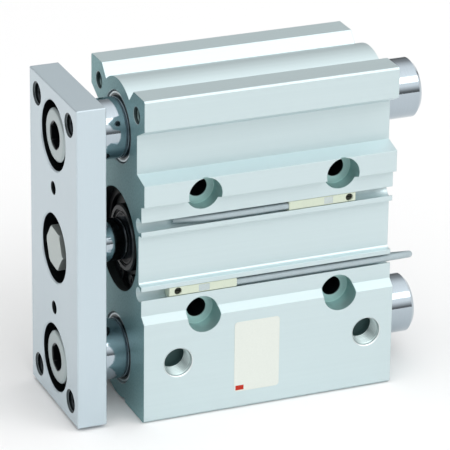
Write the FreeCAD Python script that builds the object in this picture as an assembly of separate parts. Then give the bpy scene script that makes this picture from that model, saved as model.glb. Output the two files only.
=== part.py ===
import FreeCAD, Part
import math
import os

# Guided pneumatic cylinder, 32 mm bore and 50 mm stroke, drawn retracted.
# Millimetres. +Z is up, +X runs from the end plate to the tail of the guide
# rods, and -Y is the side that carries the ports and the sensor slots.
# Sections below are drawn with x = 0 on the front end of the housing and
# moved by X_OFF at the end, so that the origin is the middle of the bottom.

V = FreeCAD.Vector
os.makedirs("parts", exist_ok=True)

# ---------------------------------------------------------------- dimensions
BODY_L = 88.0            # housing length
BODY_H = 112.0           # housing height
SIDE_Y = 24.0            # half width of the housing
BORE_Z = 56.0            # height of the cylinder bore
LOW_Z, HIGH_Z = 17.0, 95.0   # heights of the guide rods
BOSS_R_TOP, BOSS_R_LOW = 16.45, 16.8   # barrel shapes over the guide bores

BORE_R = 16.0            # cylinder bore
COVER_BORE_R = 17.2      # opening that seats the covers
COVER_SEAT = 9.0         # depth of that opening from each end
RING_GROOVE_R = 17.8
RING_X0, RING_X1 = 3.0, 4.25

GUIDE_BORE_R = 12.0
GUIDE_ROD_R = 10.0
ROD_TAIL = 15.5          # guide rods stand out of the rear end by this much
PISTON_ROD_R = 7.0
STROKE = 50.0

PLATE_T = 10.0           # end plate thickness
PLATE_GAP = 12.0         # gap from the plate to the housing
PLATE_HALF_Y = 22.0
PLATE_Z0, PLATE_Z1 = 1.0, 111.0
PLATE_CBORE_R, PLATE_CBORE_D = 11.5, 6.5
PLATE_TAP_R, PLATE_TAP_Y = 3.4, 15.0
PLATE_TAP_Z = (8.0, 104.0)
DOWEL_R, DOWEL_Z = 2.0, (35.0, 77.0)

MOUNT_X = (21.0, 69.0)   # through holes
MOUNT_Z = (35.2, 77.6)
MOUNT_R, MOUNT_CBORE_R, MOUNT_CBORE_D = 3.35, 5.75, 7.5

PORT_X = (12.0, 78.8)
PORT_Z = 20.0
PORT_R, PORT_DEPTH = 4.86, 8.0

EAR_TAP_Y, EAR_TAP_Z, EAR_TAP_R, EAR_TAP_D = 17.0, 105.0, 2.5, 12.0

SLOT_Z = (44.1, 68.1)    # sensor slots
SLOT_Y = -19.2           # axis of each round slot
SLOT_R, SLOT_HALF = 2.5, 1.63
LIP_Y = -21.4

SWITCH_R, SWITCH_HALF = 2.35, 1.52
SWITCH_FACE_Y = -21.25
SWITCH_LEN = 23.5
SWITCH_A_X = 51.3        # upper switch: its lead leaves towards the front
SWITCH_B_X = 9.8         # lower switch: its lead leaves towards the rear
LEAD_R = 1.1
LEAD_Y, LEAD_DZ = -20.0, -0.35   # the leads lie low and near the mouth of the slot
LEAD_A_END = 14.0        # where the upper lead is cut

RUN = 0.03               # radial clearance of a running fit
SEAT = 0.02              # clearance of a seated piece

X_FRONT = -(PLATE_T + PLATE_GAP)
X_TAIL = BODY_L + ROD_TAIL
X_OFF = -(X_FRONT + X_TAIL) / 2.0

AX = V(1, 0, 0)
nodes = {}


# ------------------------------------------------------------------- helpers
def cyl(x0, x1, r, y=0.0, z=0.0):
    return Part.makeCylinder(r, x1 - x0, V(x0, y, z), AX)


def ring(x0, x1, r_out, r_in, y=0.0, z=0.0):
    return cyl(x0, x1, r_out, y, z).cut(cyl(x0 - 1, x1 + 1, r_in, y, z))


def cone(x0, x1, r0, r1, y=0.0, z=0.0):
    return Part.makeCone(r0, r1, x1 - x0, V(x0, y, z), AX)


def box(x0, x1, y0, y1, z0, z1):
    return Part.makeBox(x1 - x0, y1 - y0, z1 - z0, V(x0, y0, z0))


def hex_prism(x0, x1, across_flats, y, z, turn_deg=0.0):
    r = across_flats / math.sqrt(3.0)
    pts = []
    for i in range(7):
        a = math.radians(60.0 * i + turn_deg)
        pts.append(V(x0, y + r * math.cos(a), z + r * math.sin(a)))
    return Part.Face(Part.makePolygon(pts)).extrude(V(x1 - x0, 0, 0))


def hex_head(x0, x1, across_flats, y, z, turn_deg=0.0):
    """A hexagon head whose corners are turned off on the side at x0."""
    r = across_flats / math.sqrt(3.0)
    k = 0.03 * across_flats
    h = hex_prism(x0, x1, across_flats, y, z, turn_deg)
    trim = cone(x0, x0 + k, across_flats * 0.545, r + 0.02, y, z)
    return h.common(trim.fuse(cyl(x0 + k, x1, r + 0.02, y, z)))


def section(steps):
    """A closed wire in the plane x = 0. Each step is (y, z) for a straight
    line to that point, or ((y, z), (y, z)) for an arc through the first
    point to the second."""
    def p(q):
        return V(0, q[0], q[1])
    here = steps[0]
    edges = []
    for s in list(steps[1:]) + [steps[0]]:
        if isinstance(s[0], tuple):
            edges.append(Part.Arc(p(here), p(s[0]), p(s[1])).toShape())
            here = s[1]
        else:
            edges.append(Part.LineSegment(p(here), p(s)).toShape())
            here = s
    return Part.Face(Part.Wire(edges))


def bevelled_pin(x0, x1, r, c0, c1, y=0.0, z=0.0):
    """A round bar with a chamfer at each end."""
    s = cyl(x0 + c0, x1 - c1, r, y, z)
    if c0 > 0:
        s = s.fuse(cone(x0, x0 + c0, r - c0, r, y, z))
    if c1 > 0:
        s = s.fuse(cone(x1 - c1, x1, r, r - c1, y, z))
    return s.removeSplitter()


def put(name, shape):
    if name in nodes:
        raise RuntimeError("two pieces named " + name)
    nodes[name] = shape


# ------------------------------------------------------------------- housing
def on_boss(y, zc, r, sign):
    return zc + sign * math.sqrt(r * r - y * y)


def slot_steps(z):
    y_in = SLOT_Y - math.sqrt(SLOT_R ** 2 - SLOT_HALF ** 2)
    return [
        (LIP_Y, z - SLOT_HALF), (y_in, z - SLOT_HALF),
        ((SLOT_Y + SLOT_R, z), (y_in, z + SLOT_HALF)),
        (LIP_Y, z + SLOT_HALF),
    ]


K = 1.2 * math.sin(math.radians(45.0))
outline = [(-23.2, 0.0), (-24.0, 0.8), (-24.0, 35.0), (-21.4, 37.1)]
outline += slot_steps(SLOT_Z[0])
outline += [
    (LIP_Y, 47.25), (-20.1, 47.25), ((-20.1 + K, 48.45 - K), (-18.9, 48.45)),
    (-18.9, 63.55), ((-20.1 + K, 63.55 + K), (-20.1, 64.75)), (LIP_Y, 64.75),
]
outline += slot_steps(SLOT_Z[1])
zt = on_boss(10.4, HIGH_Z, BOSS_R_TOP, 1)
zb = on_boss(10.4, LOW_Z, BOSS_R_LOW, -1)
zn = on_boss(6.3, LOW_Z, BOSS_R_LOW, -1)
outline += [
    (LIP_Y, 75.1), (-24.0, 76.0), (-24.0, 83.3), (-17.4, 85.0),
    (-17.4, 98.2), (-24.0, 101.7), (-24.0, 111.4), (-23.4, 112.0),
    (-14.3, 112.0), (-10.4, zt), ((0.0, HIGH_Z + BOSS_R_TOP), (10.4, zt)),
    (14.3, 112.0), (23.4, 112.0), (24.0, 111.4), (24.0, 101.7),
    (17.4, 98.2), (17.4, 85.0), (24.0, 83.3), (24.0, 28.7), (17.4, 27.0),
    (17.4, 13.8), (24.0, 10.3), (24.0, 1.0), (23.0, 0.0), (14.3, 0.0),
    (10.4, zb), ((0.0, LOW_Z - BOSS_R_LOW), (-6.3, zn)), (-7.2, 0.0),
]
housing = section(outline).extrude(V(BODY_L, 0, 0))

cuts = [
    cyl(-1, BODY_L + 1, BORE_R, 0, BORE_Z),
    cyl(-1, COVER_SEAT, COVER_BORE_R, 0, BORE_Z),
    cyl(BODY_L - COVER_SEAT, BODY_L + 1, COVER_BORE_R, 0, BORE_Z),
    cyl(RING_X0, RING_X1, RING_GROOVE_R, 0, BORE_Z),
    cyl(BODY_L - RING_X1, BODY_L - RING_X0, RING_GROOVE_R, 0, BORE_Z),
    cone(-0.01, 0.2, COVER_BORE_R + 0.21, COVER_BORE_R, 0, BORE_Z),
    cone(BODY_L - 0.2, BODY_L + 0.01, COVER_BORE_R, COVER_BORE_R + 0.21, 0, BORE_Z),
]
for z in (LOW_Z, HIGH_Z):
    cuts += [
        cyl(-1, BODY_L + 1, GUIDE_BORE_R, 0, z),
        cone(-0.01, 0.2, GUIDE_BORE_R + 0.21, GUIDE_BORE_R, 0, z),
        cone(BODY_L - 0.2, BODY_L + 0.01, GUIDE_BORE_R, GUIDE_BORE_R + 0.21, 0, z),
    ]
AY = V(0, 1, 0)
for x in MOUNT_X:
    for z in MOUNT_Z:
        cuts += [
            Part.makeCylinder(MOUNT_R, 60, V(x, -30, z), AY),
            Part.makeCylinder(MOUNT_CBORE_R, MOUNT_CBORE_D + 6, V(x, -30, z), AY),
            Part.makeCone(MOUNT_R, MOUNT_R + 0.81, 0.81, V(x, SIDE_Y - 0.8, z), AY),
        ]
for x in PORT_X:
    cuts += [
        Part.makeCylinder(PORT_R, PORT_DEPTH + 1, V(x, -SIDE_Y - 1, PORT_Z), AY),
        Part.makeCone(PORT_R + 0.36, PORT_R, 0.35, V(x, -SIDE_Y - 0.01, PORT_Z), AY),
    ]
# slanted air passages from the floor of each port up into the cylinder bore
AIR_R = 1.1
for x0, x1 in ((PORT_X[0], 12.0), (PORT_X[1], 77.15)):
    a, b = V(x0, -16.6, 21.0), V(x1, -8.0, 43.2)
    d = b.sub(a)
    cuts.append(Part.makeCylinder(AIR_R, d.Length, a, d))
for y in (-EAR_TAP_Y, EAR_TAP_Y):
    for x0, x1 in ((-1, EAR_TAP_D), (BODY_L - EAR_TAP_D, BODY_L + 1)):
        cuts.append(cyl(x0, x1, EAR_TAP_R, y, EAR_TAP_Z))
    cuts.append(cone(-0.01, 0.5, EAR_TAP_R + 0.51, EAR_TAP_R, y, EAR_TAP_Z))
    cuts.append(cone(BODY_L - 0.5, BODY_L + 0.01, EAR_TAP_R, EAR_TAP_R + 0.51, y, EAR_TAP_Z))
for c in cuts:
    housing = housing.cut(c)
put("cylinder_body", housing.removeSplitter())

# ----------------------------------------------------------- rod-end closure
CZ = BORE_Z
cover = cyl(4.35, COVER_SEAT, COVER_BORE_R - SEAT, 0, CZ)
cover = cover.fuse(bevelled_pin(1.6, 4.4, 11.2, 0.5, 0.0, 0, CZ))     # hub
cover = cover.fuse(cyl(COVER_SEAT, 10.0, BORE_R - SEAT, 0, CZ))
cover = cover.fuse(cyl(10.0, 16.0, 12.5, 0, CZ))
cover = cover.cut(cyl(1.0, 6.0, 9.5, 0, CZ))            # pocket for the rod seal
cover = cover.cut(cyl(5.5, 17.0, 8.6, 0, CZ))           # seat of the bush
cover = cover.cut(ring(5.6, 7.4, 19.0, 15.9, 0, CZ))    # gasket groove
put("rod_cover", cover.removeSplitter())
put("rod_cover_gasket", ring(5.64, 7.36, COVER_BORE_R - SEAT, 15.92, 0, CZ))
put("rod_bush", ring(6.05, 15.9, 8.6 - SEAT, PISTON_ROD_R + RUN, 0, CZ))
seal = ring(2.0, 6.0, 9.5 - SEAT, PISTON_ROD_R + RUN, 0, CZ)
seal = seal.cut(cone(1.99, 2.9, 8.3, 7.4, 0, CZ))
seal = seal.cut(ring(1.9, 2.6, 9.1, 8.55, 0, CZ))
put("rod_seal", seal.removeSplitter())
put("front_bumper", ring(16.0, 17.5, 12.3, 8.0, 0, CZ))


def snap_ring(x0, x1, gap_dir):
    """Internal retaining ring with two pierced lugs beside its gap."""
    s = ring(x0, x1, RING_GROOVE_R - 0.1, 14.6, 0, CZ)
    s = s.cut(box(x0 - 1, x1 + 1, -3.2, 3.2,
                  CZ - 20 if gap_dir < 0 else CZ, CZ if gap_dir < 0 else CZ + 20))
    for y in (-4.6, 4.6):
        z = CZ + gap_dir * 13.9
        s = s.fuse(cyl(x0, x1, 2.3, y, z))
    inside = cyl(x0 - 1, x1 + 1, RING_GROOVE_R - 0.1, 0, CZ)
    s = s.common(inside)
    for y in (-4.6, 4.6):
        z = CZ + gap_dir * 13.6
        s = s.cut(cyl(x0 - 1, x1 + 1, 0.85, y, z))
    return s.removeSplitter()


put("front_retaining_ring", snap_ring(RING_X0 + 0.02, RING_X1 - 0.03, -1))

# ---------------------------------------------------------- head-end closure
H0 = BODY_L - COVER_SEAT
head = cyl(H0, BODY_L - 4.35, COVER_BORE_R - SEAT, 0, CZ)
head = head.fuse(cyl(H0 - 0.6, H0, BORE_R - SEAT, 0, CZ))
head = head.fuse(cyl(77.2, H0 - 0.6, 8.0, 0, CZ))
head = head.cut(ring(80.4, 82.2, 19.0, 15.9, 0, CZ))
head = head.cut(cyl(82.6, 90, 12.5, 0, CZ))             # dished outer face
put("head_cover", head.removeSplitter())
put("head_cover_gasket", ring(80.44, 82.16, COVER_BORE_R - SEAT, 15.92, 0, CZ))
put("rear_bumper", cyl(75.7, 77.2, 7.6, 0, CZ))
put("rear_retaining_ring", snap_ring(BODY_L - RING_X1 + 0.03, BODY_L - RING_X0 - 0.02, -1))

# -------------------------------------------------------------- guide bushes
for tag, z in (("lower", LOW_Z), ("upper", HIGH_Z)):
    for end, x0, x1 in (("front", 0.5, 34.0), ("rear", 54.0, BODY_L - 0.5)):
        b = ring(x0, x1, GUIDE_BORE_R - SEAT, GUIDE_ROD_R + RUN, 0, z)
        e0, e1 = (x0, x0 + 1.4) if end == "front" else (x1 - 1.4, x1)
        b = b.cut(ring(e0 - 0.01 if end == "front" else e0, e1 if end == "front" else e1 + 0.01,
                       GUIDE_BORE_R + 1.0, GUIDE_BORE_R - 0.5, 0, z))
        if end == "front":
            b = b.cut(cone(x0 - 0.01, x0 + 0.3, GUIDE_ROD_R + 0.34, GUIDE_ROD_R + RUN, 0, z))
        else:
            b = b.cut(cone(x1 - 0.3, x1 + 0.01, GUIDE_ROD_R + RUN, GUIDE_ROD_R + 0.34, 0, z))
        put("guide_bush_%s_%s" % (end, tag), b.removeSplitter())

# -------------------------------------------------------------- moving unit
PX0, PX1 = X_FRONT, X_FRONT + PLATE_T
plate = box(PX0, PX1, -PLATE_HALF_Y, PLATE_HALF_Y, PLATE_Z0, PLATE_Z1)
plate = plate.makeChamfer(0.3, plate.Edges)
for z in (LOW_Z, BORE_Z, HIGH_Z):
    plate = plate.cut(cyl(PX0 - 1, PX0 + PLATE_CBORE_D, PLATE_CBORE_R, 0, z))
    plate = plate.cut(cone(PX0 - 0.01, PX0 + 0.4, PLATE_CBORE_R + 0.41, PLATE_CBORE_R, 0, z))
for z in (LOW_Z, HIGH_Z):
    plate = plate.cut(cyl(PX0, PX1 + 1, 5.25, 0, z))
plate = plate.cut(cyl(PX0, PX1 + 1, 4.25, 0, BORE_Z))
for z in PLATE_TAP_Z:
    for y in (-PLATE_TAP_Y, PLATE_TAP_Y):
        plate = plate.cut(cyl(PX0 - 1, PX1 + 1, PLATE_TAP_R, y, z))
        plate = plate.cut(cone(PX0 - 0.01, PX0 + 0.6, PLATE_TAP_R + 0.61, PLATE_TAP_R, y, z))
        plate = plate.cut(cone(PX1 - 0.6, PX1 + 0.01, PLATE_TAP_R, PLATE_TAP_R + 0.61, y, z))
for z in DOWEL_Z:
    plate = plate.cut(cyl(PX0 - 1, PX1 + 1, DOWEL_R, 0, z))
    plate = plate.cut(cone(PX0 - 0.01, PX0 + 0.3, DOWEL_R + 0.31, DOWEL_R, 0, z))
put("end_plate", plate.removeSplitter())

SEAT_X = PX0 + PLATE_CBORE_D                 # floor of the counterbores
guide_bolts = []
for z in (LOW_Z, HIGH_Z):
    b = bevelled_pin(SEAT_X - 5.9, SEAT_X, 9.0, 0.45, 0.0, 0, z)
    b = b.fuse(cyl(SEAT_X, SEAT_X + 20.0, 5.0 - SEAT, 0, z))
    b = b.cut(hex_prism(SEAT_X - 7, SEAT_X - 1.6, 8.2, 0, z, 22.0))
    b = b.cut(cone(SEAT_X - 5.91, SEAT_X - 5.5, 4.9, 4.4, 0, z))
    guide_bolts.append(b.removeSplitter())
put("guide_rod_bolts", Part.makeCompound(guide_bolts))

hexb = hex_head(SEAT_X - 6.35, SEAT_X, 13.0, 0, BORE_Z, 7.0)
hexb = hexb.fuse(cyl(SEAT_X, SEAT_X + 19.0, 4.0 - SEAT, 0, BORE_Z))
put("piston_rod_bolt", hexb.removeSplitter())

for tag, z in (("lower", LOW_Z), ("upper", HIGH_Z)):
    r = bevelled_pin(PX1, X_TAIL, GUIDE_ROD_R, 0.6, 1.2, 0, z)
    r = r.cut(cyl(PX1 - 1, PX1 + 22.0, 5.0, 0, z))
    put("guide_rod_" + tag, r.removeSplitter())

P0 = 67.6                                    # front face of the piston at rest
P1 = P0 + 8.0
rod = cyl(PX1, P0, PISTON_ROD_R, 0, BORE_Z)
rod = rod.fuse(cyl(P0, P1 - 0.2, 5.0, 0, BORE_Z))
rod = rod.cut(cyl(PX1 - 1, PX1 + 20.0, 4.0, 0, BORE_Z))
for s in (-1, 1):                            # two wrench flats behind the plate
    z0 = BORE_Z + s * 6.0
    rod = rod.cut(box(PX1 + 1.5, PX1 + 7.5, -9, 9, min(z0, z0 + s * 4), max(z0, z0 + s * 4)))
put("piston_rod", rod.removeSplitter())

piston = bevelled_pin(P0, P1, BORE_R - 0.3, 0.4, 0.4, 0, BORE_Z)
piston = piston.cut(cyl(P0 - 1, P1 + 1, 5.0 + SEAT, 0, BORE_Z))
piston = piston.cut(cyl(P0 + 4.2, P1 + 1, 10.0, 0, BORE_Z))      # nut recess
for x0, x1, r in ((P0 + 0.9, P0 + 3.1, 12.5), (P0 + 3.6, P0 + 5.2, 14.2), (P0 + 5.7, P0 + 7.2, 12.6)):
    piston = piston.cut(ring(x0, x1, 18, r, 0, BORE_Z))
put("piston", piston.removeSplitter())
put("piston_seal", ring(P0 + 0.94, P0 + 3.06, BORE_R - RUN, 12.5 + SEAT, 0, BORE_Z))
put("piston_wear_ring", ring(P0 + 3.64, P0 + 5.16, BORE_R - RUN, 14.2 + SEAT, 0, BORE_Z))
put("piston_magnet", ring(P0 + 5.74, P0 + 7.16, BORE_R - 0.4, 12.6 + SEAT, 0, BORE_Z))
nut = hex_prism(P0 + 4.22, P1 - 0.3, 16.0, 0, BORE_Z).cut(cyl(P0, P1 + 1, 5.0 + SEAT, 0, BORE_Z))
put("piston_nut", nut)


# ----------------------------------------------------------- sensor switches
def switch(tag, x0, z, lead_forward):
    x1 = x0 + SWITCH_LEN
    case = cyl(x0, x1, SWITCH_R, SLOT_Y, z)
    neck = box(x0, x1, SWITCH_FACE_Y, SLOT_Y, z - SWITCH_HALF, z + SWITCH_HALF)
    neck = neck.makeChamfer(0.2, [e for e in neck.Edges
                                   if abs(e.CenterOfMass.y - SWITCH_FACE_Y) < 1e-6])
    case = case.cut(box(x0 - 1, x1 + 1, SLOT_Y - 4, SWITCH_FACE_Y, z - 3, z + 3))
    case = case.fuse(neck).removeSplitter()
    if lead_forward:
        xs, wx0, wx1 = x1 - 2.2, x0 + 12.4, x0 + 15.5
    else:
        xs, wx0, wx1 = x0 + 3.0, x0 + 10.2, x0 + 14.0
    case = case.cut(Part.makeCylinder(1.27, 8, V(xs, -23, z), AY))
    case = case.cut(Part.makeCylinder(1.02, 2, V(xs, -23, z), AY))
    window = box(wx0, wx1, SWITCH_FACE_Y + 0.02, SWITCH_FACE_Y + 0.9, z - 1.15, z + 1.15)
    case = case.cut(box(wx0 - 0.01, wx1 + 0.01, SWITCH_FACE_Y - 1, SWITCH_FACE_Y + 0.91,
                        z - 1.16, z + 1.16))
    screw = Part.makeCylinder(1.25, 3.55, V(xs, -20.65, z), AY)
    screw = screw.cut(box(xs - 2, xs + 2, -20.7, -20.1, z - 0.2, z + 0.2))
    put("switch_%s_case" % tag, case.removeSplitter())
    put("switch_%s_screw" % tag, screw)
    put("switch_%s_window" % tag, window)


switch("upper", SWITCH_A_X, SLOT_Z[1], True)
switch("lower", SWITCH_B_X, SLOT_Z[0], False)
put("switch_upper_lead", cyl(LEAD_A_END, SWITCH_A_X, LEAD_R, LEAD_Y, SLOT_Z[1] + LEAD_DZ))
put("switch_lower_lead", cyl(SWITCH_B_X + SWITCH_LEN, BODY_L, LEAD_R, LEAD_Y, SLOT_Z[0] + LEAD_DZ))

# --------------------------------------------------------------- rating label
LX0, LX1, LZ0, LZ1, LR = 31.6, 47.5, 6.0, 31.0, 1.2
label = box(LX0, LX1, -SIDE_Y - 0.1, -SIDE_Y, LZ0, LZ1)
label = label.makeFillet(LR, [e for e in label.Edges
                              if abs(abs(e.tangentAt(e.FirstParameter).y) - 1) < 1e-6])
put("label", label)

# ------------------------------------------------ free end of the lower lead
# It leaves the rear end of its slot, turns in between the tails of the guide
# rods, comes down behind the housing and ends in a small tied coil there.
ROUTE = [
    (88.0, -20.0, 43.75), (94.2, -20.0, 43.75), (98.9, -14.4, 41.2),
    (99.6, -4.8, 36.8), (97.9, 7.5, 31.4), (94.5, 21.3, 25.6),
    (88.7, 34.4, 18.2), (80.6, 44.9, 10.0), (71.0, 52.4, 4.4),
    (60.0, 54.6, 3.1),
]
COIL_C = (58.0, 41.5)
COIL_MID, COIL_HALF_W, COIL_H = 12.0, 3.5, 4.6


def rounded_path(points):
    """Straight runs joined by tangent arcs, each as large as its runs allow."""
    pts = [V(*q) for q in points]
    edges, radii, here, total = [], [], pts[0], 0.0
    for i in range(1, len(pts) - 1):
        a, b, c = pts[i - 1], pts[i], pts[i + 1]
        u = a.sub(b); w = c.sub(b)
        lu, lw = u.Length, w.Length
        u.normalize(); w.normalize()
        turn = math.pi - u.getAngle(w)
        cut = 0.45 * min(lu, lw)
        r = cut / math.tan(turn / 2.0)
        p, q = b.add(u * cut), b.add(w * cut)
        mid_dir = u.add(w); mid_dir.normalize()
        centre = b.add(mid_dir * (r / math.cos(turn / 2.0)))
        m = centre.sub(mid_dir * r)
        edges.append(Part.LineSegment(here, p).toShape())
        edges.append(Part.Arc(p, m, q).toShape())
        total += here.distanceToPoint(p) + r * turn
        radii.append((round(r, 1), round(math.degrees(turn), 1)))
        here = q
    edges.append(Part.LineSegment(here, pts[-1]).toShape())
    total += here.distanceToPoint(pts[-1])
    return Part.Wire(edges), radii, total


path, radii, tube_len = rounded_path(ROUTE)
disc = Part.Wire([Part.Circle(V(*ROUTE[0]), V(1, 0, 0), LEAD_R).toShape()])
tube = path.makePipeShell([disc], True, False, 2)
coil = Part.makeCylinder(COIL_MID + COIL_HALF_W, COIL_H, V(COIL_C[0], COIL_C[1], 0))
coil = coil.cut(Part.makeCylinder(COIL_MID - COIL_HALF_W, COIL_H + 2, V(COIL_C[0], COIL_C[1], -1)))
coil = coil.makeChamfer(0.9, [e for e in coil.Edges if len(e.Vertexes) == 1 and abs(e.CenterOfMass.z - COIL_H) < 1e-6])
print("tube", round(tube_len, 2), "volume", round(tube.Volume, 2),
      "section x length", round(math.pi * LEAD_R ** 2 * tube_len, 2), "radii", radii)
free = tube.cut(coil)
free = max(free.Solids, key=lambda s: s.Volume)
put("lower_lead_free", free)
tie = box(COIL_MID - COIL_HALF_W - 0.5, COIL_MID + COIL_HALF_W + 0.5, -1.6, 1.6, 0, COIL_H + 0.5)
tie.rotate(V(0, 0, 0), V(0, 0, 1), 190.0)
tie.translate(V(COIL_C[0], COIL_C[1], 0))
tie = tie.cut(coil)
put("lower_lead_tie", tie)
put("lower_lead_coil", coil)
# three stripped cores, lying on the floor where the sheath ends
end_a = math.radians(-65.0)
cores = []
ex = COIL_C[0] + (COIL_MID + 2 * LEAD_R) * math.cos(end_a)
ey = COIL_C[1] + (COIL_MID + 2 * LEAD_R) * math.sin(end_a)
tx, ty = -math.sin(end_a), math.cos(end_a)
for k, spread in ((-1, -0.10), (0, 0.02), (1, 0.12)):
    d = V(tx * math.cos(spread) - ty * math.sin(spread), ty * math.cos(spread) + tx * math.sin(spread), 0)
    o = V(ex + 0.85 * k * math.cos(end_a), ey + 0.85 * k * math.sin(end_a), 0.5)
    c = Part.makeCylinder(0.4, 18.0, o, d)
    cores.append(max(c.cut(coil).Solids, key=lambda s: s.Volume))
put("lower_lead_cores", Part.makeCompound(cores))

# --------------------------------------------------------------------- output
for name, shape in nodes.items():
    shape = shape.copy()
    shape.translate(V(X_OFF, 0, 0))
    if not shape.isValid() or shape.Volume <= 0:
        raise RuntimeError("bad solid: " + name)
    shape.exportStep("parts/%s.step" % name)
    bb = shape.BoundBox
    print("%-24s solids %d vol %9.1f  x %.2f..%.2f y %.2f..%.2f z %.2f..%.2f" % (
        name, len(shape.Solids), shape.Volume, bb.XMin, bb.XMax, bb.YMin, bb.YMax, bb.ZMin, bb.ZMax))
print(len(nodes), "nodes, x offset", X_OFF)
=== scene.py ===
import bpy, bmesh, math
from mathutils import Vector, Matrix


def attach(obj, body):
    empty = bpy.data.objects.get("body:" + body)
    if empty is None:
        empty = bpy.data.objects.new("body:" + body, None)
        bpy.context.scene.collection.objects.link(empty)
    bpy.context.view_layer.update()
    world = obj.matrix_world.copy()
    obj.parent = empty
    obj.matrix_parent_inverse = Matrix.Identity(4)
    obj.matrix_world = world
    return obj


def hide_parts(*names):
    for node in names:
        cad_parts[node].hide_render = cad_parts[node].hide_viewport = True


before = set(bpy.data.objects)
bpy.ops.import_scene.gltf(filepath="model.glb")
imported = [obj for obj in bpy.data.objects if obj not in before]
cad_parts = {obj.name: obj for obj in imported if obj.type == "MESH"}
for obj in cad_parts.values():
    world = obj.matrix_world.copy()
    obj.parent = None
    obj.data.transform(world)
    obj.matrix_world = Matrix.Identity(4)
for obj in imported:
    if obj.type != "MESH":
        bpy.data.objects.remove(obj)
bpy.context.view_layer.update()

scene = bpy.context.scene
MM = 0.001
XO = -40.75                        # front end of the housing, mm in the row frame


def P(x, y, z):
    """A point given in mm from the housing's front end, in the row frame in metres."""
    return ((x + XO) * MM, y * MM, z * MM)


# ------------------------------------------------------------------ camera
def make_camera():
    a, e, r = math.radians(-22.64), math.radians(23.08), math.radians(0.73)
    back = Vector((math.sin(a) * math.cos(e), -math.cos(a) * math.cos(e), math.sin(e)))
    right = Vector((0, 0, 1)).cross(back).normalized()
    up = back.cross(right)
    r2 = right * math.cos(r) + up * math.sin(r)
    u2 = up * math.cos(r) - right * math.sin(r)
    cam = bpy.data.cameras.new("camera")
    cam.sensor_fit = "HORIZONTAL"
    cam.sensor_width = 36.0
    cam.lens = 3455.0 / 450.0 * 36.0
    cam.clip_start, cam.clip_end = 0.05, 30.0
    ob = bpy.data.objects.new("camera", cam)
    scene.collection.objects.link(ob)
    m = Matrix((r2, u2, back)).transposed().to_4x4()
    m.translation = Vector(P(-364.5, -964.4, 500.3))
    ob.matrix_world = m
    scene.camera = ob


make_camera()

# ------------------------------------------------- free part of the lower lead
LEAD_D = 0.0022
ROUTE = [
    (88.0, -20.0, 43.75), (94.2, -20.0, 43.75), (98.9, -14.4, 41.2),
    (99.6, -4.8, 36.8), (97.9, 7.5, 31.4), (94.5, 21.3, 25.6),
    (88.7, 34.4, 18.2), (80.6, 44.9, 10.0), (71.0, 52.4, 4.4),
    (63.0, 54.6, 3.2),
]
COIL_C = (58.0, 41.5)


def coil_points():
    """Turns of the put-away coil: two on top, then three on the floor side by side."""
    pts = []
    lanes = [(13.1, 3.15), (10.9, 3.10), (9.8, 1.14), (12.0, 1.12), (14.15, 1.12)]
    start, end, step = 102.0, 295.0 + 4 * 360.0, 24.0
    th = start
    while th < end - 6:
        k = (th - 90.0) / 360.0
        i = min(int(k), 4)
        f = k - i
        r0, z0 = lanes[i]
        if i < 4 and f > 0.84:                      # ease over to the next lane
            t = (f - 0.84) / 0.16
            t = t * t * (3 - 2 * t)
            r1, z1 = lanes[i + 1]
            r0, z0 = r0 + (r1 - r0) * t, z0 + (z1 - z0) * t
        wob = 0.10 * math.sin(th * 0.071 + i) + 0.05 * math.sin(th * 0.193)
        a = math.radians(th)
        rr = (r0 + wob) / math.cos(math.radians(step / 2)) ** 0.5
        pts.append((COIL_C[0] + rr * math.cos(a), COIL_C[1] + rr * math.sin(a), z0))
        th += step
    a = math.radians(295.0)
    ex, ey = COIL_C[0] + 14.2 * math.cos(a), COIL_C[1] + 14.2 * math.sin(a)
    pts.append((ex, ey, 1.12))
    pts.append((ex - 3.0 * math.sin(a) + 0.2, ey + 3.0 * math.cos(a), 1.12))
    pts.append((ex - 6.4 * math.sin(a) + 0.5, ey + 6.4 * math.cos(a) - 0.1, 1.12))
    return pts


def nurbs(name, pts, bevel, res=6, caps=True, bres=6):
    cu = bpy.data.curves.new(name, "CURVE")
    cu.dimensions = "3D"
    cu.bevel_depth = 1.0                          # the points carry the radius
    cu.bevel_resolution = bres
    cu.use_fill_caps = caps
    sp = cu.splines.new("NURBS")
    sp.points.add(len(pts) - 1)
    for q, c in zip(sp.points, pts):
        x, y, z = P(*c)
        q.co = (x, y, z, 1.0)
        q.radius = bevel
    sp.order_u = 3
    sp.use_endpoint_u = True
    sp.resolution_u = res
    ob = bpy.data.objects.new(name, cu)
    scene.collection.objects.link(ob)
    return ob


lead_pts = ROUTE + coil_points()
lead = nurbs("lower_lead_cord", lead_pts, LEAD_D / 2, res=5, bres=5)
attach(lead, "housing")
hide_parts("lower_lead_free", "lower_lead_coil")

upper_lead = nurbs("upper_lead", [(51.3, -20.0, 67.75), (46, -20.0, 67.75), (33, -20.0, 67.75), (25, -19.9, 67.75),
                                  (20, -19.5, 67.8), (16, -18.7, 67.9), (12, -18.0, 67.9)], LEAD_D / 2, res=8, bres=6)
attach(upper_lead, "housing")
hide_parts("switch_upper_lead")

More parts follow.
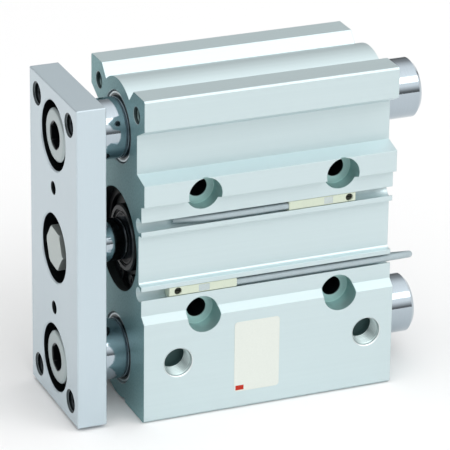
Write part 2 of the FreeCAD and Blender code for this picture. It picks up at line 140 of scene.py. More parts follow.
end_p, end_q = Vector(lead_pts[-1]), Vector(lead_pts[-2])
tip_dir = (end_p - end_q).normalized()
side = Vector((-tip_dir.y, tip_dir.x, 0))
cores, tips = [], []
for tag, k, drop in (("brown", -1, 0.0), ("blue", 0, 0.35), ("black", 1, 0.0)):
    base = end_p - tip_dir * 0.6 + side * (0.47 * k) + Vector((0, 0, -0.15 if k else 0.28))
    path = [base,
            base + tip_dir * 3.0 + side * (0.35 * k) + Vector((0, 0, -0.25)),
            base + tip_dir * 6.0 + side * (1.15 * k + 0.2) + Vector((0, 0, -0.45 - (0.25 if not k else 0))),
            base + tip_dir * 9.0 + side * (1.75 * k + 0.1)]
    path[-1].z = path[-2].z = 0.47
    c = nurbs("core_" + tag, [tuple(v) for v in path], 0.00043, res=8, bres=4)
    t0 = path[-1]
    d = (path[-1] - path[-2]).normalized()
    t = nurbs("core_tip_" + tag, [tuple(t0 - d * 0.3), tuple(t0 + d * 0.9), tuple(t0 + d * 1.9), tuple(t0 + d * 2.8)], 0.00026, res=4, bres=3)
    cores.append(c)
    tips.append(t)
    for o in (c, t):
        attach(o, "housing")
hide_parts("lower_lead_cores")


def band(name, inner_w, inner_h, thick, width, centre, angle, radial_shift=0.0):
    """A flat strap round a bundle: a rounded loop swept along its width."""
    prof = []
    n = 8
    for qx, qz, a0 in ((1, 1, 0), (-1, 1, 90), (-1, -1, 180), (1, -1, 270)):
        rad = 0.9
        for i in range(n + 1):
            a = math.radians(a0 + 90.0 * i / n)
            prof.append((qx * (inner_w / 2 - rad) + rad * math.cos(a), qz * (inner_h / 2 - rad) + rad * math.sin(a), math.cos(a), math.sin(a)))
    bm = bmesh.new()
    rings = []
    for w in (-width / 2, width / 2):
        for off in (0.0, thick):
            rings.append([bm.verts.new((x + nx * off, w, z + nz * off)) for x, z, nx, nz in prof])
    m = len(prof)
    for a, b in ((0, 1), (1, 3), (3, 2), (2, 0)):
        for i in range(m):
            j = (i + 1) % m
            bm.faces.new((rings[a][i], rings[a][j], rings[b][j], rings[b][i]))
    bmesh.ops.recalc_face_normals(bm, faces=bm.faces)
    me = bpy.data.meshes.new(name)
    rot = Matrix.Rotation(math.radians(angle), 4, "Z")
    for v in bm.verts:
        c = rot @ Vector((v.co.x + 12.0 + radial_shift, v.co.y, v.co.z + inner_h / 2 + 0.02 + thick))
        v.co = Vector(P(c.x + centre[0], c.y + centre[1], c.z))
    bm.to_mesh(me)
    bm.free()
    ob = bpy.data.objects.new(name, me)
    scene.collection.objects.link(ob)
    md = ob.modifiers.new("soft edges", "BEVEL")
    md.width = 0.0001
    md.segments = 2
    md.limit_method = "ANGLE"
    return ob


tie = band("lead_tie", 7.0, 4.35, 0.28, 2.6, COIL_C, 190.0)
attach(tie, "housing")
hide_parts("lower_lead_tie")

# ---------------------------------------------------------------- the stage
def disc(name, r, z, n=128):
    me = bpy.data.meshes.new(name)
    me.from_pydata([(r * math.cos(2 * math.pi * i / n), r * math.sin(2 * math.pi * i / n), z) for i in range(n)], [], [tuple(range(n))])
    ob = bpy.data.objects.new(name, me)
    scene.collection.objects.link(ob)
    return ob


floor = disc("floor", 2.3, -0.0002)
fm = bpy.data.materials.new("floor")
fm.use_nodes = True
fb = fm.node_tree.nodes["Principled BSDF"]
fb.inputs["Base Color"].default_value = (0.86, 0.86, 0.86, 1)
fb.inputs["Roughness"].default_value = 0.95
fb.inputs["Specular IOR Level"].default_value = 0.1
floor.data.materials.append(fm)


def make_world():
    """A plain soft studio: one broad neutral light in front and overhead,
    falling off to a dim wall behind and dimmer at the two ends."""
    w = bpy.data.worlds.new("studio")
    scene.world = w
    w.use_nodes = True
    nt = w.node_tree
    nt.nodes.clear()
    N, L = nt.nodes.new, nt.links.new

    def m(op, a, b=None, clamp=False):
        n = N("ShaderNodeMath")
        n.operation = op
        n.use_clamp = clamp
        for i, v in enumerate((a, b)):
            if v is None:
                continue
            if isinstance(v, (int, float)):
                n.inputs[i].default_value = v
            else:
                L(v, n.inputs[i])
        return n.outputs[0]

    def ramp(fac, stops, lo, hi):
        r = N("ShaderNodeValToRGB")
        r.color_ramp.interpolation = "LINEAR"
        el = r.color_ramp.elements
        while len(el) > 1:
            el.remove(el[-1])
        k = [((p - lo) / (hi - lo), c) for p, c in stops]
        el[0].position, el[0].color = k[0][0], (*k[0][1], 1)
        for p, c in k[1:]:
            e = el.new(p)
            e.color = (*c, 1)
        L(fac, r.inputs["Fac"])
        return r.outputs["Color"]

    tc = N("ShaderNodeTexCoord")
    sep = N("ShaderNodeSeparateXYZ")
    L(tc.outputs["Generated"], sep.inputs[0])
    x, y, z = sep.outputs
    ang = m("MULTIPLY", m("ARCTAN2", z, m("MULTIPLY", y, -1.0)), 180.0 / math.pi)
    fac = m("DIVIDE", m("ADD", ang, 20.0), 200.0)
    G = 0.5                                          # the ramp holds half values
    band = ramp(fac, [(p, tuple(G * q for q in c)) for p, c in (
        (-20, (0.05, 0.05, 0.05)), (5, (0.20, 0.20, 0.20)), (25, (1.20, 1.20, 1.20)),
        (60, (1.45, 1.45, 1.45)), (105, (1.15, 1.15, 1.15)), (140, (0.40, 0.40, 0.40)),
        (180, (0.12, 0.12, 0.12)))],
        -20.0, 180.0)
    side = ramp(m("ADD", z, 0.0, True), [(p, tuple(G * q for q in c)) for p, c in (
        (0.0, (0.10, 0.10, 0.10)), (0.2, (0.30, 0.30, 0.30)), (1.0, (0.55, 0.55, 0.55)))], 0.0, 1.0)
    edge = N("ShaderNodeMapRange")
    edge.interpolation_type = "SMOOTHSTEP"
    edge.inputs["From Min"].default_value = 0.70
    edge.inputs["From Max"].default_value = 0.95
    L(m("ABSOLUTE", x), edge.inputs["Value"])
    mix = N("ShaderNodeMix")
    mix.data_type = "RGBA"
    L(edge.outputs["Result"], mix.inputs["Factor"])
    L(band, mix.inputs["A"])
    L(side, mix.inputs["B"])
    bg = N("ShaderNodeBackground")
    bg.inputs["Strength"].default_value = 1.0 / G * WORLD_GAIN
    L(mix.outputs["Result"], bg.inputs["Color"])
    out = N("ShaderNodeOutputWorld")
    L(bg.outputs[0], out.inputs["Surface"])


WORLD_GAIN = 1.07
make_world()


def area(name, loc, target, size, power, color=(1, 1, 1)):
    l = bpy.data.lights.new(name, "AREA")
    l.shape = "RECTANGLE"
    l.size, l.size_y = size
    l.energy = power
    l.color = color
    o = bpy.data.objects.new(name, l)
    scene.collection.objects.link(o)
    o.location = loc
    d = Vector(target) - Vector(loc)
    o.rotation_euler = d.to_track_quat("-Z", "Y").to_euler()
    return o


area("front_softbox", (0.55, -1.30, 1.42), (0, 0, 0.05), (2.2, 0.7), 11.0, (1.0, 1.0, 1.0))

scene.view_settings.view_transform = "Standard"


# -------------------------------------------------------------- materials
class Mat:
    """A small helper round one Principled material."""

    def __init__(self, name, color, metallic=0.0, rough=0.5, specular=0.5, coat=0.0, coat_rough=0.1):
        m = bpy.data.materials.new(name)
        m.use_nodes = True
        self.m, self.nt = m, m.node_tree
        self.b = self.nt.nodes["Principled BSDF"]
        self.b.inputs["Base Color"].default_value = (*color, 1)
        self.b.inputs["Metallic"].default_value = metallic
        self.b.inputs["Roughness"].default_value = rough
        self.b.inputs["Specular IOR Level"].default_value = specular
        self.b.inputs["Coat Weight"].default_value = coat
        self.b.inputs["Coat Roughness"].default_value = coat_rough
        self.tc = self.N("ShaderNodeTexCoord")
        self.color = None
        self.rough = None
        self.height = []
        self.base, self.base_rough = color, rough

    def N(self, kind, **kw):
        n = self.nt.nodes.new(kind)
        for k, v in kw.items():
            setattr(n, k, v)
        return n

    def L(self, a, b):
        self.nt.links.new(a, b)

    def coords(self, scale=(1, 1, 1), rot=(0, 0, 0)):
        mp = self.N("ShaderNodeMapping")
        mp.inputs["Scale"].default_value = scale
        mp.inputs["Rotation"].default_value = rot
        self.L(self.tc.outputs["Object"], mp.inputs["Vector"])
        return mp.outputs["Vector"]

    def noise(self, scale, stretch=(1, 1, 1), detail=3.0, rough=0.5, rot=(0, 0, 0)):
        n = self.N("ShaderNodeTexNoise")
        n.inputs["Scale"].default_value = scale
        n.inputs["Detail"].default_value = detail
        n.inputs["Roughness"].default_value = rough
        self.L(self.coords(stretch, rot), n.inputs["Vector"])
        return n.outputs["Fac"]

    def ramp(self, fac, lo, hi, out_lo=0.0, out_hi=1.0, smooth=False):
        mr = self.N("ShaderNodeMapRange")
        mr.clamp = True
        if smooth:
            mr.interpolation_type = "SMOOTHSTEP"
        for k, v in (("From Min", lo), ("From Max", hi), ("To Min", out_lo), ("To Max", out_hi)):
            mr.inputs[k].default_value = v
        self.L(fac, mr.inputs["Value"])
        return mr.outputs["Result"]

    def math(self, op, a, b=0.0, clamp=False):
        n = self.N("ShaderNodeMath", operation=op, use_clamp=clamp)
        for i, v in enumerate((a, b)):
            if isinstance(v, (int, float)):
                n.inputs[i].default_value = v
            else:
                self.L(v, n.inputs[i])
        return n.outputs[0]

    def mix(self, fac, a, b):
        n = self.N("ShaderNodeMix", data_type="RGBA")
        if isinstance(fac, (int, float)):
            n.inputs["Factor"].default_value = fac
        else:
            self.L(fac, n.inputs["Factor"])
        for k, v in (("A", a), ("B", b)):
            if isinstance(v, tuple):
                n.inputs[k].default_value = (*v, 1)
            else:
                self.L(v, n.inputs[k])
        return n.outputs["Result"]

    def tint(self, fac, low, high):
        """Vary the colour between two values by fac, over what is there so far."""
        c = self.mix(fac, low, high)
        self.color = c
        return self

    def over(self, fac, col):
        self.color = self.mix(fac, self.color if self.color is not None else self.base, col)
        return self

    def rough_by(self, fac, lo, hi):
        self.rough = self.ramp(fac, 0.0, 1.0, lo, hi)
        return self

    def rough_over(self, fac, value):
        n = self.N("ShaderNodeMix", data_type="FLOAT")
        self.L(fac, n.inputs["Factor"])
        if self.rough is None:
            n.inputs["A"].default_value = self.base_rough
        else:
            self.L(self.rough, n.inputs["A"])
        n.inputs["B"].default_value = value
        self.rough = n.outputs["Result"]
        return self

    def bump(self, fac, dist):
        self.height.append((fac, dist))
        return self

    def xyz(self):
        s = self.N("ShaderNodeSeparateXYZ")
        self.L(self.tc.outputs["Object"], s.inputs[0])
        return s.outputs["X"], s.outputs["Y"], s.outputs["Z"]

    def normal_axis(self, axis):
        g = self.N("ShaderNodeNewGeometry")
        s = self.N("ShaderNodeSeparateXYZ")
        self.L(g.outputs["Normal"], s.inputs[0])
        return self.math("ABSOLUTE", s.outputs[axis])

    def radius(self, u, v, u0, v0):
        """Distance from a line: u, v are outputs, u0, v0 its place in metres."""
        du = self.math("SUBTRACT", u, u0)
        dv = self.math("SUBTRACT", v, v0)
        s = self.math("ADD", self.math("MULTIPLY", du, du), self.math("MULTIPLY", dv, dv))
        return self.math("SQRT", s)

    def done(self, soft=0.0, strength=1.0):
        if self.color is not None:
            self.L(self.color, self.b.inputs["Base Color"])
        if self.rough is not None:
            self.L(self.rough, self.b.inputs["Roughness"])
        last = None
        if soft > 0:
            bv = self.N("ShaderNodeBevel")
            bv.samples = 4
            bv.inputs["Radius"].default_value = soft
            last = bv.outputs["Normal"]
        for fac, dist in self.height:
            bp = self.N("ShaderNodeBump")
            bp.inputs["Strength"].default_value = strength
            bp.inputs["Distance"].default_value = dist
            self.L(fac, bp.inputs["Height"])
            if last is not None:
                self.L(last, bp.inputs["Normal"])
            last = bp.outputs["Normal"]
        if last is not None:
            self.L(last, self.b.inputs["Normal"])
        return self.m


def node(name):
    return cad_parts[name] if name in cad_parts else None


def cad(name):
    return bpy.data.objects[name]


def dress(name, mat):
    ob = cad(name)
    ob.data.materials.clear()
    ob.data.materials.append(mat)


# anodised housing
def housing_material():
    m = Mat("anodised_housing", (0.62, 0.72, 0.74), metallic=0.56, rough=0.40, specular=0.5)
    streak = m.noise(1.0, (7, 900, 900), 4.0, 0.6)              # drawn lines along the profile
    cloud = m.noise(16.0, (1, 1, 1), 2.0)
    grain = m.noise(5200.0, (1, 1, 1), 2.0, 0.6)
    end = m.ramp(m.normal_axis("X"), 0.6, 0.95, smooth=True)    # sawn and milled end faces; their darker, greener colour below is partly their own tone and partly painted shade
    x, y, z = m.xyz()
    m.tint(m.ramp(streak, 0.35, 0.65), BODY_LO, BODY_HI)
    m.over(m.ramp(cloud, 0.40, 0.75, 0.0, 0.35), tuple(min(1.0, c * 1.03) for c in BODY_HI))
    speck = m.noise(1300.0, (1, 1, 1), 3.0, 0.7)
    # painted shade, partly the milled ends' own tone: the end faces darker and greener
    m.over(m.math("MULTIPLY", end, 0.92), END_FACE_TONE_AND_PAINTED_SHADE)
    m.over(m.math("MULTIPLY", end, m.ramp(speck, 0.40, 0.62, 0.0, 0.35)), (0.12, 0.23, 0.23))
    m.rough_by(streak, 0.38, 0.43)
    m.rough_over(end, 0.5)
    m.rough_over(m.ramp(m.radius(y, z, 0.0, 0.056), 0.01755, 0.0176, 1.0, 0.0), 0.9)

    def both(p, q):
        return m.math("MULTIPLY", p, q)

    # painted shade inside the screw holes and ports, the same all round: darker counterbore walls and floors, turning
    # rings on the floors, near-black through holes
    for hx in MOUNT_X:
        for hz in MOUNT_Z:
            r = m.radius(x, z, (hx + XO) * MM, hz * MM)
            cb = both(m.ramp(r, 0.00583, 0.00590, 1.0, 0.0), m.ramp(y, -0.0150, -0.0145, 1.0, 0.0))
            wall = both(cb, m.ramp(y, -0.0240, -0.0238, 0.0, 1.0))
            m.over(both(wall, 0.85), (0.26, 0.42, 0.41))
            flat = both(cb, m.ramp(y, -0.0169, -0.0166, 0.0, 1.0))
            rings = m.N("ShaderNodeTexNoise", noise_dimensions="1D")
            m.L(m.math("MULTIPLY", r, 5200.0), rings.inputs["W"])
            rings.inputs["Scale"].default_value = 1.0
            m.over(flat, (0.46, 0.66, 0.64))
            m.over(both(flat, m.ramp(rings.outputs["Fac"], 0.5, 0.7, 0.0, 0.25)), (0.25, 0.40, 0.38))
            hole = both(m.ramp(r, 0.00342, 0.00350, 1.0, 0.0), m.ramp(y, -0.0164, -0.0158, 0.0, 1.0))
            # painted shade: the through holes near black
            m.over(hole, (0.006, 0.010, 0.012))
    for px in PORT_X:
        r = m.radius(x, z, (px + XO) * MM, PORT_Z * MM)
        inner = both(m.ramp(r, 0.00488, 0.00496, 1.0, 0.0), m.ramp(y, -0.02362, -0.0236, 0.0, 1.0))
        inner = both(inner, m.ramp(y, -0.0150, -0.0145, 1.0, 0.0))
        # painted shade: the port walls darker
        m.over(inner, (0.10, 0.18, 0.18))
        # a bright rim round the port chamfers: partly bare cut metal, partly a painted highlight
        rim = both(m.ramp(r, 0.00524, 0.00528, 1.0, 0.0), both(m.ramp(y, -0.02362, -0.0236, 1.0, 0.0), m.ramp(y, -0.02399, -0.02397, 0.0, 1.0)))
        m.over(rim, (0.80, 0.86, 0.87))
    # painted shade: near-black insides of the holes in the ends of the ears, and round the bores
    for hy in (-17.0, 17.0):
        r = m.radius(y, z, hy * MM, 0.105)
        m.over(both(m.ramp(r, 0.00282, 0.00290, 1.0, 0.0), 0.95), (0.015, 0.035, 0.035))
    r = m.radius(y, z, 0.0, 0.056)
    # painted shade: the bore walls near black at both ends
    mouth = both(m.ramp(r, 0.0178, 0.0179, 1.0, 0.0), both(m.ramp(x, (0.03 + XO) * MM, (0.08 + XO) * MM, 0.0, 1.0), m.ramp(x, (87.92 + XO) * MM, (87.97 + XO) * MM, 1.0, 0.0)))
    m.over(both(mouth, 0.97), (0.006, 0.009, 0.009))
    m.bump(streak, 0.0000015)
    m.bump(grain, 0.000003)
    return m.done(soft=0.00022)


MOUNT_X, MOUNT_Z = (21.0, 69.0), (35.2, 77.6)
PORT_X, PORT_Z = (12.0, 78.8), 20.0
SLOT_Z = (44.1, 68.1)
PLATE_TOP, PLATE_HALF = 0.111, 0.022
# end-face colour: partly the milled ends' own tone, partly painted shade
END_FACE_TONE_AND_PAINTED_SHADE = (0.23, 0.42, 0.44)
PLATE_LO, PLATE_HI = (0.515, 0.605, 0.655), (0.535, 0.625, 0.675)
BODY_LO, BODY_HI = (0.575, 0.682, 0.70), (0.59, 0.697, 0.715)
HOUSING = housing_material()
dress("cylinder_body", HOUSING)

# nickel plated steel
def plate_material():
    m = Mat("nickel_plate", (0.60, 0.69, 0.73), metallic=0.4, rough=0.26)
    line = m.noise(1.0, (2600, 2600, 60), 3.0, 0.6)
    cloud = m.noise(24.0, (1, 1, 1), 3.0)
    x, y, z = m.xyz()

    def both(p, q):
        return m.math("MULTIPLY", p, q)

    m.tint(m.ramp(cloud, 0.3, 0.7), PLATE_LO, PLATE_HI)
    m.over(m.ramp(line, 0.3, 0.7, 0.0, 0.06), (0.70, 0.77, 0.80))
    m.rough_by(line, 0.22, 0.27)
    # painted shade: near-black insides of the counterbores, tapped holes and dowel holes, the same all round
    for hz in (17.0, 56.0, 95.0):
        r = m.radius(y, z, 0.0, hz * MM)
        hole = m.ramp(r, 0.01150, 0.01154, 1.0, 0.0)
        inner = both(hole, m.ramp(x, (-21.70 + XO) * MM, (-21.55 + XO) * MM, 0.0, 1.0))
        m.over(inner, (0.006, 0.008, 0.009))
    for hz in (8.0, 104.0):
        for hy in (-15.0, 15.0):
            r = m.radius(y, z, hy * MM, hz * MM)
            inner = both(m.ramp(r, 0.00342, 0.00350, 1.0, 0.0), m.ramp(x, (-21.7 + XO) * MM, (-21.5 + XO) * MM, 0.0, 1.0))
            m.over(inner, (0.008, 0.012, 0.014))
            # painted shade: a dark ring at the tapped holes' chamfers
            mouth = both(m.ramp(r, 0.00398, 0.00402, 1.0, 0.0), m.ramp(r, 0.00345, 0.00350, 0.0, 1.0))
            mouth = both(mouth, m.ramp(x, (-21.0 + XO) * MM, (-20.9 + XO) * MM, 1.0, 0.0))
            m.over(mouth, (0.05, 0.065, 0.07))
    for hz in (35.0, 77.0):
        r = m.radius(y, z, 0.0, hz * MM)
        front = m.ramp(x, (-21.0 + XO) * MM, (-20.9 + XO) * MM, 1.0, 0.0)
        pin = both(both(m.ramp(r, 0.00232, 0.00235, 1.0, 0.0), m.ramp(x, (-21.99 + XO) * MM, (-21.96 + XO) * MM, 0.0, 1.0)), m.ramp(x, (-12.9 + XO) * MM, (-12.8 + XO) * MM, 1.0, 0.0))
        # painted shade: the dowel holes near black
        m.over(pin, (0.01, 0.014, 0.016))
    m.bump(line, 0.000002)
    return m.done(soft=0.00007)


dress("end_plate", plate_material())

# hard chrome
def chrome_material(name, rough=0.07):
    m = Mat(name, (0.44, 0.50, 0.55), metallic=1.0, rough=rough)
    lap = m.noise(1.0, (7000, 60, 60), 2.0, 0.6)                # grinding marks run round the rod
    m.tint(m.ramp(lap, 0.3, 0.7), (0.42, 0.485, 0.535), (0.45, 0.515, 0.565))
    m.rough_by(lap, rough * 0.8, rough * 1.4)
    m.bump(lap, 0.0000012)
    return m.done(soft=0.00008)


CHROME = chrome_material("hard_chrome")
for n in ("guide_rod_lower", "guide_rod_upper", "piston_rod"):
    dress(n, CHROME)


def turned(name, color, metallic, rough, axis_z, ring_scale=5200.0, depth=0.000006, soft=0.00012, dark=0.8):
    """Turned metal: fine rings round a line along X at height axis_z."""
    m = Mat(name, color, metallic=metallic, rough=rough)
    x, y, z = m.xyz()
    r = m.radius(y, z, 0.0, axis_z * MM)
    n = m.N("ShaderNodeTexNoise")
    n.noise_dimensions = "2D"
    comb = m.N("ShaderNodeCombineXYZ")
    m.L(m.math("MULTIPLY", r, ring_scale), comb.inputs["X"])
    m.L(m.math("MULTIPLY", x, ring_scale), comb.inputs["Y"])
    m.L(comb.outputs[0], n.inputs["Vector"])
    n.inputs["Scale"].default_value = 1.0
    n.inputs["Detail"].default_value = 2.0
    f = n.outputs["Fac"]
    m.tint(m.ramp(f, 0.3, 0.7), tuple(c * dark for c in color), color)
    m.rough_by(f, rough * 0.85, min(1.0, rough * 1.2))
    m.bump(f, depth)
    return m.done(soft=soft)


def front_bush_material(name, z0):
    """A bush whose end shows a bright ring between edges darkened with painted shade."""
    m = Mat(name, (0.60, 0.68, 0.70), metallic=0.6, rough=0.3)
    x, y, z = m.xyz()
    r = m.radius(y, z, 0.0, z0 * MM)
    rings = m.N("ShaderNodeTexNoise", noise_dimensions="1D")
    m.L(m.math("MULTIPLY", r, 9000.0), rings.inputs["W"])
    rings.inputs["Scale"].default_value = 1.0
    m.tint(m.ramp(rings.outputs["Fac"], 0.3, 0.7), (0.56, 0.64, 0.66), (0.64, 0.72, 0.74))
    m.rough_by(rings.outputs["Fac"], 0.26, 0.36)
    # painted shade at the bush end's inner and outer edges
    m.over(m.ramp(r, 0.01085, 0.01100, 1.0, 0.0), (0.02, 0.035, 0.04))
    m.over(m.ramp(r, 0.01165, 0.01172, 0.0, 1.0), (0.02, 0.035, 0.04))
    return m.done(soft=0.00006)


def hex_screw_material():
    m = Mat("hex_screw_steel", (0.47, 0.525, 0.52), metallic=0.6, rough=0.32)
    f = m.noise(500.0, (1, 1, 1), 3.0, 0.6)
    m.tint(m.ramp(f, 0.3, 0.7), (0.42, 0.475, 0.465), (0.44, 0.495, 0.485))
    m.rough_by(f, 0.29, 0.34)
    return m.done(soft=0.00010)


# painted shade: the rod cover, deep in the bore mouth, is given a near-black colour
dress("rod_cover", turned("turned_cover_painted_shade", (0.010, 0.014, 0.014), 0.5, 0.4, 56.0))
dress("head_cover", turned("turned_head", (0.58, 0.64, 0.64), 0.8, 0.38, 56.0))
for tag, z in (("lower", 17.0), ("upper", 95.0)):
    t = turned("bush_metal_" + tag, (0.62, 0.68, 0.70), 0.9, 0.24, z, 3800.0)
    dress("guide_bush_front_" + tag, front_bush_material("bush_face_" + tag, z))
    dress("guide_bush_rear_" + tag, t)
dress("rod_bush", turned("sintered_bronze", (0.45, 0.34, 0.20), 0.7, 0.5, 56.0))
dress("piston", turned("turned_piston", (0.66, 0.67, 0.66), 0.8, 0.35, 56.0))


def simple(name, color, metallic, rough, scale=900.0, contrast=0.85, bump=0.000006, soft=0.0001, **kw):
    m = Mat(name, color, metallic=metallic, rough=rough, **kw)
    f = m.noise(scale, (1, 1, 1), 3.0, 0.6)
    g = m.noise(scale * 0.06, (1, 1, 1), 2.0)
    m.tint(m.ramp(f, 0.3, 0.7), tuple(c * contrast for c in color), color)
    m.over(m.ramp(g, 0.4, 0.7, 0.0, 0.2), tuple(min(1.0, c * 1.12) for c in color))
    m.rough_by(f, rough * 0.85, min(1.0, rough * 1.15))
    m.bump(f, bump)
    return m.done(soft=soft)


STEEL = simple("bolt_steel", (0.47, 0.525, 0.52), 0.7, 0.30, 500.0, 0.97, 0.000002)
dress("piston_rod_bolt", hex_screw_material())
dress("piston_nut", STEEL)
RUBBER = simple("nitrile", (0.018, 0.018, 0.02), 0.0, 0.42, 2500.0, 0.7)
for n in ("rod_seal", "rod_cover_gasket", "head_cover_gasket", "piston_seal"):
    dress(n, RUBBER)
URE = simple("urethane", (0.05, 0.055, 0.06), 0.0, 0.5, 1500.0, 0.8)
for n in ("front_bumper", "rear_bumper"):
    dress(n, URE)
PHOS = simple("phosphate", (0.012, 0.014, 0.015), 0.3, 0.5, 2600.0, 0.7, 0.000004)
for n in ("front_retaining_ring", "rear_retaining_ring"):
    dress(n, PHOS)
dress("piston_wear_ring", simple("wear_resin", (0.62, 0.60, 0.52), 0.0, 0.5))
dress("piston_magnet", simple("ferrite", (0.05, 0.05, 0.055), 0.2, 0.6, 3000.0))
RESIN = simple("cream_resin", (0.60, 0.665, 0.54), 0.0, 0.46, 2200.0, 0.95, 0.000006, 0.00015)
for n in ("switch_upper_case", "switch_lower_case"):
    dress(n, RESIN)
# painted shade: the switch set screws near black, standing for their dark screw holes
SCREW = simple("small_screw_painted_shade", (0.012, 0.015, 0.008), 0.2, 0.5, 2600.0)
for n in ("switch_upper_screw", "switch_lower_screw"):
    dress(n, SCREW)
dress("switch_upper_window", simple("window_grey", (0.50, 0.57, 0.56), 0.0, 0.2, 2000.0, 0.9, 0.000002, 0.00008, coat=0.5))
dress("switch_lower_window", simple("window_blue", (0.46, 0.54, 0.55), 0.0, 0.2, 2000.0, 0.9, 0.000002, 0.00008, coat=0.5))
VINYL = simple("lead_sheath", (0.38, 0.46, 0.49), 0.0, 0.5, 1400.0, 0.9, 0.000008, 0.0)
dress("switch_lower_lead", VINYL)
upper_lead.data.materials.append(VINYL)


lead.data.materials.append(VINYL)
tie.data.materials.append(simple("nylon_tie", (0.72, 0.73, 0.70), 0.0, 0.4, 1500.0, 0.93))
for c, col in zip(cores, ((0.12, 0.045, 0.02), (0.03, 0.10, 0.30), (0.02, 0.02, 0.022))):
    c.data.materials.append(simple(c.name + "_skin", col, 0.0, 0.42, 2500.0, 0.85, 0.000004, 0.0))
TIN = simple("tinned_copper", (0.70, 0.68, 0.64), 1.0, 0.3, 4000.0, 0.8, 0.00001, 0.0)
for t in tips:
    t.data.materials.append(TIN)


def label_material():
    m = Mat("label_film", (0.80, 0.83, 0.80), rough=0.42, specular=0.3, coat=0.05, coat_rough=0.25)
    f = m.noise(1800.0, (1, 1, 1), 3.0)
    m.tint(m.ramp(f, 0.3, 0.7), (0.68, 0.715, 0.665), (0.70, 0.735, 0.685))
    x, y, z = m.xyz()
    def inside(v, lo, hi, soft=0.00005):
        a = m.ramp(v, lo - soft, lo + soft, 0.0, 1.0)
        b = m.ramp(v, hi - soft, hi + soft, 1.0, 0.0)
        return m.math("MULTIPLY", a, b)
    patch = m.math("MULTIPLY", inside(x, (32.1 + XO) * MM, (35.0 + XO) * MM), inside(z, 6.5 * MM, 8.2 * MM))
    m.over(patch, (0.45, 0.018, 0.001))
    m.rough_by(f, 0.30, 0.38)
    m.bump(f, 0.000003)
    return m.done(soft=0.00005)


dress("label", label_material())

# guide rod screws, with a knurled head and a hexagon socket
def revolve_loops(loops, ax_y, ax_z, name, closed_start=True, closed_end=True):
    """Loops are (x, radius function of angle); they are joined in order."""
    bm = bmesh.new()
    n = 180
    rows = []
    for x, rf in loops:
        row = []
        for i in range(n):
            a = 2 * math.pi * i / n
            r = rf(a)
            row.append(bm.verts.new(P(x, ax_y + r * math.cos(a), ax_z + r * math.sin(a))))
        rows.append(row)
    for a, b in zip(rows[:-1], rows[1:]):
        for i in range(n):
            j = (i + 1) % n
            bm.faces.new((a[i], a[j], b[j], b[i]))
    if closed_start:
        c = bm.verts.new(P(loops[0][0], ax_y, ax_z))
        for i in range(n):
            bm.faces.new((c, rows[0][(i + 1) % n], rows[0][i]))
    if closed_end:
        c = bm.verts.new(P(loops[-1][0], ax_y, ax_z))
        for i in range(n):
            bm.faces.new((c, rows[-1][i], rows[-1][(i + 1) % n]))
    bmesh.ops.recalc_face_normals(bm, faces=bm.faces)
    me = bpy.data.meshes.new(name)
    bm.to_mesh(me)
    bm.free()
    ob = bpy.data.objects.new(name, me)
    scene.collection.objects.link(ob)
    return ob


def smooth(ob, angle=28):
    for p in ob.data.polygons:
        p.use_smooth = True
    ob.data.set_sharp_from_angle(angle=math.radians(angle))


def const(r):
    return lambda a: r


def knurl(r, depth=0.14, teeth=60):
    return lambda a: r - depth * (0.5 + 0.5 * math.cos(teeth * a)) ** 2


def hexagon(af, turn, k=1.0):
    t = math.radians(turn)

    def f(a):
        d = (a - t) % (math.pi / 3)
        return k * af / 2 / math.cos(d - math.pi / 6)
    return f


def screw_steel(name, z0):
    m = Mat(name, (0.45, 0.52, 0.52), metallic=0.6, rough=0.30)
    x, y, z = m.xyz()
    r = m.radius(y, z, 0.0, z0 * MM)
    rings = m.N("ShaderNodeTexNoise", noise_dimensions="1D")
    m.L(m.math("MULTIPLY", r, 4200.0), rings.inputs["W"])
    rings.inputs["Scale"].default_value = 1.0
    m.tint(m.ramp(rings.outputs["Fac"], 0.3, 0.7), (0.37, 0.435, 0.44), (0.40, 0.465, 0.47))
    m.rough_by(rings.outputs["Fac"], 0.27, 0.33)
    # painted shade: the hexagon socket near black
    inside = m.math("MULTIPLY", m.ramp(r, 0.0049, 0.0050, 1.0, 0.0), m.ramp(x, (-21.36 + XO) * MM, (-21.2 + XO) * MM, 0.0, 1.0))
    m.over(inside, (0.005, 0.007, 0.008))
    # painted shade: the knurled sides of the head near black
    knurled = m.math("MULTIPLY", m.ramp(r, 0.0086, 0.0088, 0.0, 1.0), m.ramp(x, (-20.6 + XO) * MM, (-20.4 + XO) * MM, 0.0, 0.95))
    m.over(knurled, (0.02, 0.025, 0.03))
    return m.done(soft=0.00008)


def guide_screw(name, z):
    f0 = -21.4                                     # head face
    s = -15.5                                      # seat
    hx = hexagon(8.2, 22.0)
    loops = [
        (f0 + 4.6, const(0.3)), (f0 + 4.1, hexagon(8.2, 22.0, 0.9)), (f0 + 3.9, hx), (f0 + 0.42, hx),
        (f0 + 0.02, lambda a: max(4.86, hx(a))), (f0, const(4.95)), (f0, const(7.9)), (f0 + 0.12, const(8.35)), (f0 + 0.55, const(8.88)),
        (f0 + 0.95, knurl(8.98)), (s - 1.0, knurl(8.98)), (s - 0.7, const(8.82)), (s - 0.3, const(8.8)), (s, const(8.6)),
        (s, const(5.3)), (s + 0.3, const(4.97)), (s + 19.0, const(4.97)), (s + 19.9, const(4.1)),
    ]
    ob = revolve_loops(loops, 0.0, z, name)
    smooth(ob, 32)
    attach(ob, "ram")
    ob.data.materials.append(screw_steel(name + "_steel", z))
    return ob


g1 = guide_screw("guide_screw_lower", 17.0)
g2 = guide_screw("guide_screw_upper", 95.0)
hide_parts("guide_rod_bolts")


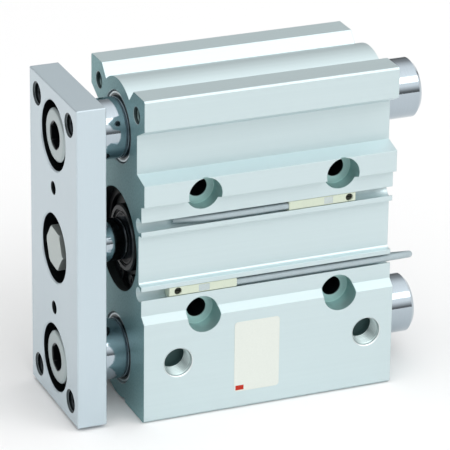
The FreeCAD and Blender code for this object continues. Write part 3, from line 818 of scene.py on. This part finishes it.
# threads cut inside the holes
def thread(name, origin, direction, r_wall, depth, pitch, length, body, mat, per_turn=48, crest=0.16):
    """A helical ridge that stands inward from a hole's wall."""
    d = Vector(direction).normalized()
    u = Vector((0, 0, 1)) if abs(d.z) < 0.5 else Vector((1, 0, 0))
    u = (u - d * u.dot(d)).normalized()
    v = d.cross(u)
    o = Vector(origin)
    bm = bmesh.new()
    turns = (length - pitch) / pitch
    n = int(turns * per_turn)
    prev = None
    prof = ((-0.46, 0.0), (-crest / 2, 1.0), (crest / 2, 1.0), (0.46, 0.0), (0.46, -0.10), (-0.46, -0.10))
    for i in range(n + 1):
        a = 2 * math.pi * i / per_turn
        s = pitch * 0.5 + pitch * i / per_turn
        fade = min(1.0, i / (per_turn * 0.5), (n - i) / (per_turn * 0.5)) 
        fade = max(0.06, fade)
        row = []
        for px, pr in prof:
            r = r_wall - depth * pr * fade if pr > 0 else r_wall - 0.008 - pr * 0.0
            q = o + d * (s + px * pitch) + (u * math.cos(a) + v * math.sin(a)) * r
            row.append(bm.verts.new(P(*q)))
        row = row[:4]
        if prev:
            for k in range(3):
                bm.faces.new((prev[k], prev[k + 1], row[k + 1], row[k]))
        prev = row
    for vtx in [w for w in bm.verts if not w.link_faces]:
        bm.verts.remove(vtx)
    bmesh.ops.recalc_face_normals(bm, faces=bm.faces)
    me = bpy.data.meshes.new(name)
    bm.to_mesh(me)
    bm.free()
    ob = bpy.data.objects.new(name, me)
    scene.collection.objects.link(ob)
    smooth(ob, 24)
    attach(ob, body)
    ob.data.materials.append(mat)
    return ob


def thread_material(name, u0, v0):
    """Cut threads: bare metal at the crests, with painted shade darkening towards the roots."""
    m = Mat(name, (0.45, 0.55, 0.55), metallic=0.6, rough=0.3)
    x, y, z = m.xyz()
    r = m.radius(x, z, u0, v0)
    f = m.noise(3000.0, (1, 1, 1), 3.0, 0.6)
    m.tint(m.ramp(f, 0.3, 0.7), (0.44, 0.54, 0.54), (0.52, 0.62, 0.62))
    # painted shade towards the thread roots
    m.over(m.ramp(r, 0.00445, 0.00475, 0.0, 0.6), (0.20, 0.28, 0.28))
    return m.done()


# painted shade: the threads inside the ear, back and plate holes are given dark colours
THREAD_AL = simple("thread_cut_aluminium_painted_shade", (0.12, 0.18, 0.18), 0.6, 0.3, 3000.0, 0.85, 0.000004, 0.0)
THREAD_ST = simple("thread_cut_steel_painted_shade", (0.012, 0.018, 0.022), 0.6, 0.25, 3000.0, 0.85, 0.000004, 0.0)
thread("port_thread_front", (12.0, -23.75, 20.0), (0, 1, 0), 4.855, 0.55, 0.907, 7.4, "housing", thread_material("port_thread_front_cut", (12.0 + XO) * MM, 0.020))
thread("port_thread_rear", (78.8, -23.75, 20.0), (0, 1, 0), 4.855, 0.55, 0.907, 7.4, "housing", thread_material("port_thread_rear_cut", (78.8 + XO) * MM, 0.020))
for i, (y, z) in enumerate(((-15, 8), (15, 8), (-15, 104), (15, 104))):
    thread("plate_thread_%d" % i, (-21.5, y, z), (1, 0, 0), 3.395, 0.34, 1.25, 9.0, "ram", THREAD_ST)
for i, (x, y, d) in enumerate(((0.4, -17, 1), (0.4, 17, 1), (87.6, -17, -1), (87.6, 17, -1))):
    thread("ear_thread_%d" % i, (x, y, 105.0), (d, 0, 0), 2.495, 0.25, 1.0, 9.0, "housing", THREAD_AL, 36)
for i, (x, z) in enumerate([(a, b) for b in MOUNT_Z for a in MOUNT_X]):
    thread("back_thread_%d" % i, (x, 23.4, z), (0, -1, 0), 3.345, 0.25, 1.25, 15.0, "housing", THREAD_AL, 36)
